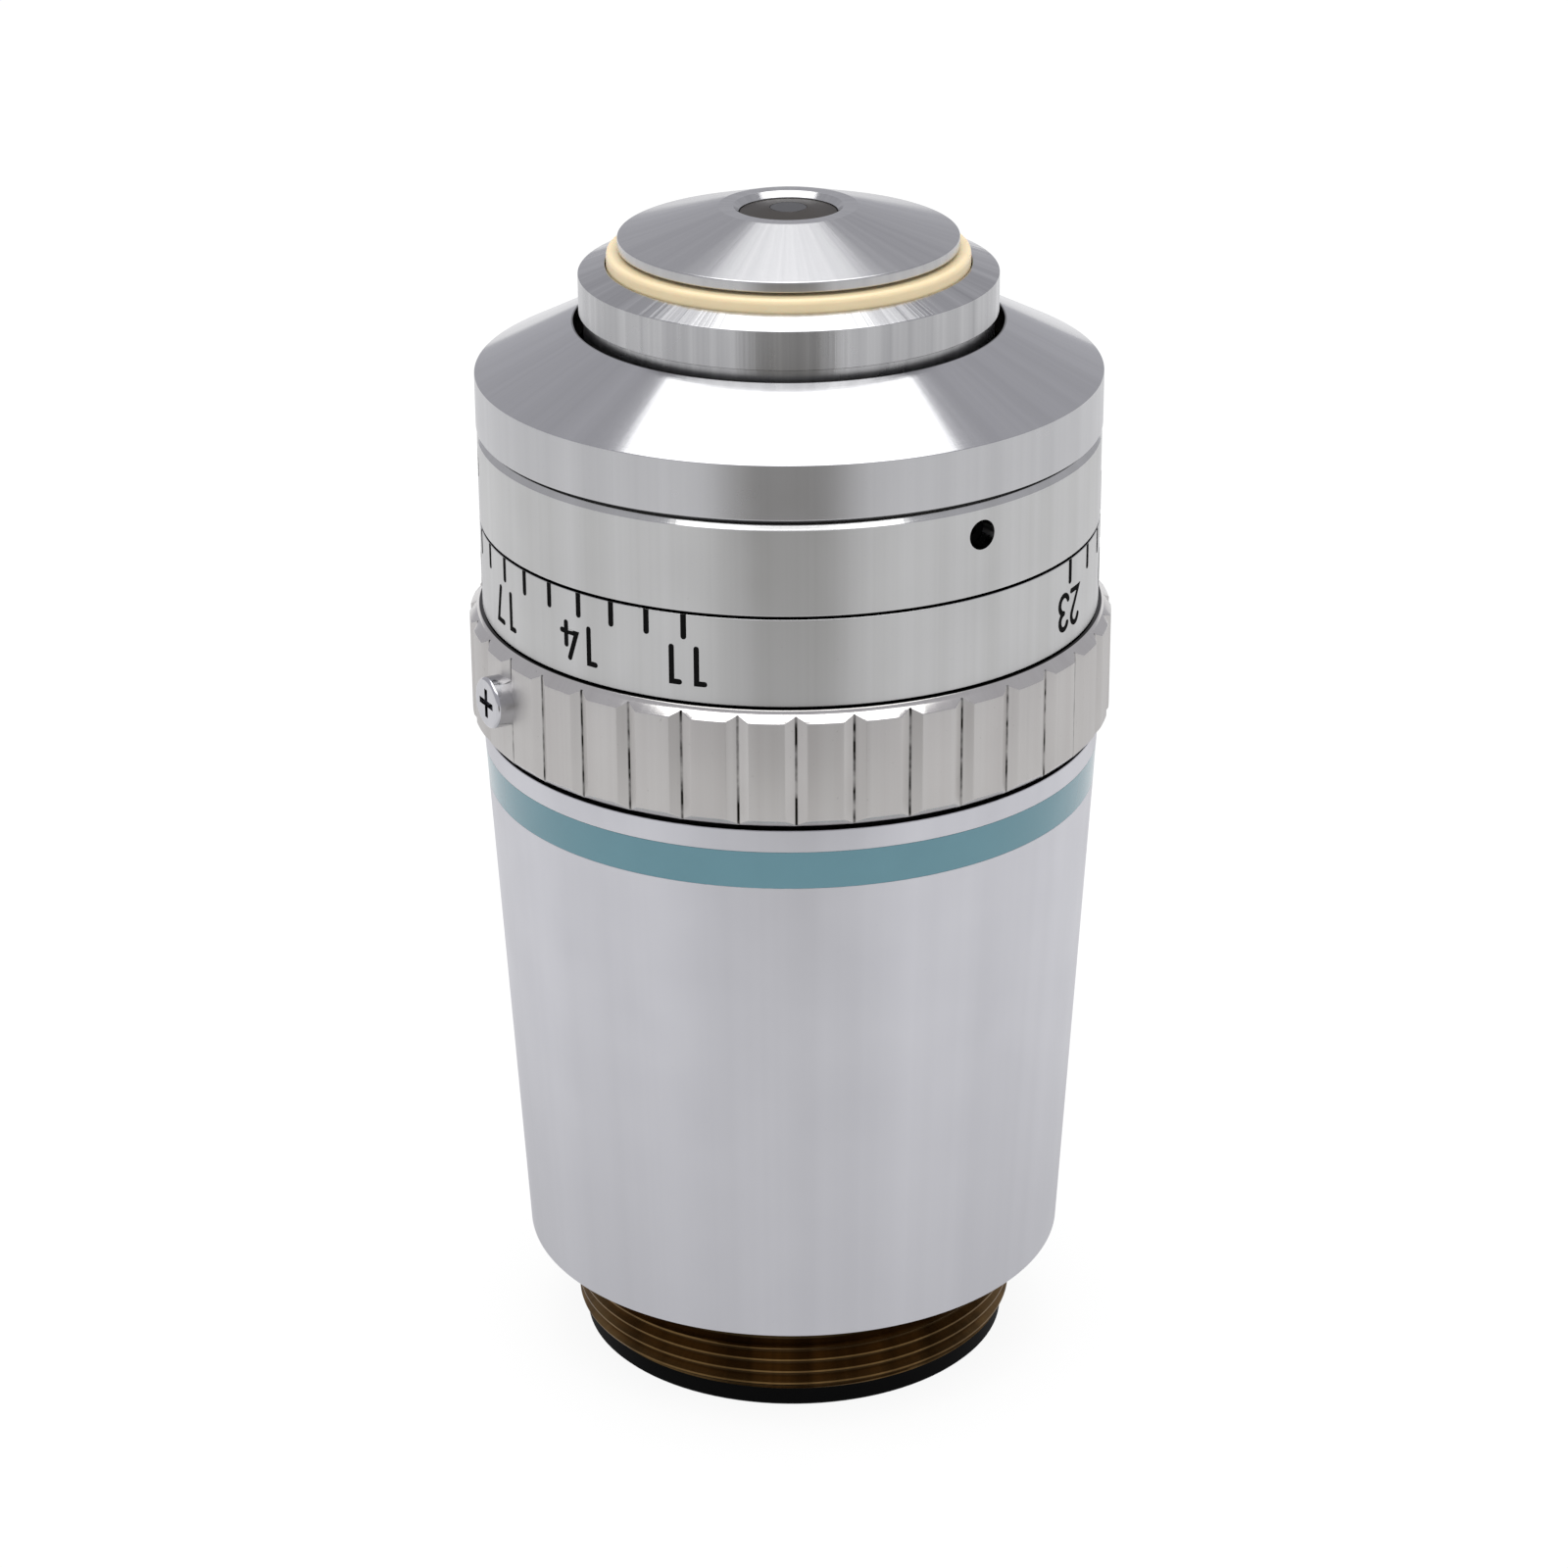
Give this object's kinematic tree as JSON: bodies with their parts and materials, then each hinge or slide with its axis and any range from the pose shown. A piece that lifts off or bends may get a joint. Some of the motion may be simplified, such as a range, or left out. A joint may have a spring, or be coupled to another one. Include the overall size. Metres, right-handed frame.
{
  "type": "microscope objective",
  "caption": "Spring-loaded microscope objective with a turning correction collar: tapered barrel, grip ring, scale, conical nose and a threaded mount.",
  "frame": {"origin": "on the optical axis, in the plane of the mounting shoulder", "axes": "+Z along the optical axis towards the front lens, +X to the right as pictured, -Y towards the camera"},
  "size_m": [0.035, 0.035, 0.066],
  "materials": {
    "thread_brass": "turned, slightly tarnished",
    "satin_chrome": "satin plate over turned brass",
    "nose_chrome": "fine turned plate",
    "brass": "turned",
    "blackened_brass": "matt black",
    "steel": "bright",
    "blue_enamel": "enamel",
    "cream_plastic": "satin",
    "washer_plastic": "matt",
    "lens_glass": "coated, polished"
  },
  "bodies": {
    "barrel": {"mount_ring": "thread_brass", "rear_ring": "blackened_brass", "outer_barrel": "satin_chrome", "colour_ring": "blue_enamel", "body_tube": "brass", "guide_pin": "steel", "main_spring": "steel", "index_sleeve": "satin_chrome", "index_set_screw_1": "steel", "index_set_screw_2": "steel", "index_set_screw_3": "steel", "front_cover": "satin_chrome", "drag_washer": "washer_plastic"},
    "collar": {"scale_ring": "satin_chrome", "grip_ring": "satin_chrome", "collar_screw": "steel"},
    "nose": {"nose_cone": "nose_chrome", "nose_ring": "cream_plastic", "nose_sleeve": "nose_chrome", "lens_core": "brass", "front_cell": "blackened_brass", "front_lens": "lens_glass", "meniscus_cell": "blackened_brass", "meniscus_lens": "lens_glass", "doublet_a_cell": "blackened_brass", "doublet_a_crown": "lens_glass", "doublet_a_flint": "lens_glass", "doublet_b_cell": "blackened_brass", "doublet_b_crown": "lens_glass", "doublet_b_flint": "lens_glass", "front_spacer": "blackened_brass", "thick_meniscus_cell": "blackened_brass", "thick_meniscus_crown": "lens_glass", "thick_meniscus_flint": "lens_glass", "rear_doublet_cell": "blackened_brass", "rear_doublet_flint": "lens_glass", "rear_doublet_crown": "lens_glass", "rear_stop": "blackened_brass", "rear_lock_ring": "blackened_brass"},
    "cam": {"cam_ring": "brass"},
    "correction": {"correction_cell": "blackened_brass", "correction_crown": "lens_glass", "correction_flint": "lens_glass", "correction_lock_ring": "blackened_brass", "cam_pin": "steel"}
  },
  "joints": [
    {"name": "collar_turn", "type": "hinge", "parent": "barrel", "child": "collar", "pos_m": [0, 0, 0], "axis": [0, 0, 1], "range_deg": [-69.1, 25.7]},
    {"name": "nose_slide", "type": "slide", "parent": "barrel", "child": "nose", "axis": [0, 0, -1], "range_m": [0, 0.002], "stiffness_N_per_m": 1500, "springref_m": -0.003, "deforming": ["main_spring"]},
    {"name": "cam_turn", "type": "hinge", "parent": "nose", "child": "cam", "pos_m": [0, 0, 0], "axis": [0, 0, 1], "range_deg": [-69.2, 25.8]},
    {"name": "correction_slide", "type": "slide", "parent": "nose", "child": "correction", "axis": [0, 0, 1], "range_m": [-0.00087, 0.00032]}
  ],
  "couplings": [
    {"joint": "cam_turn", "follows": "collar_turn", "ratio": 1},
    {"joint": "correction_slide", "follows": "collar_turn", "m_per_rad": 0.0007162}
  ]
}
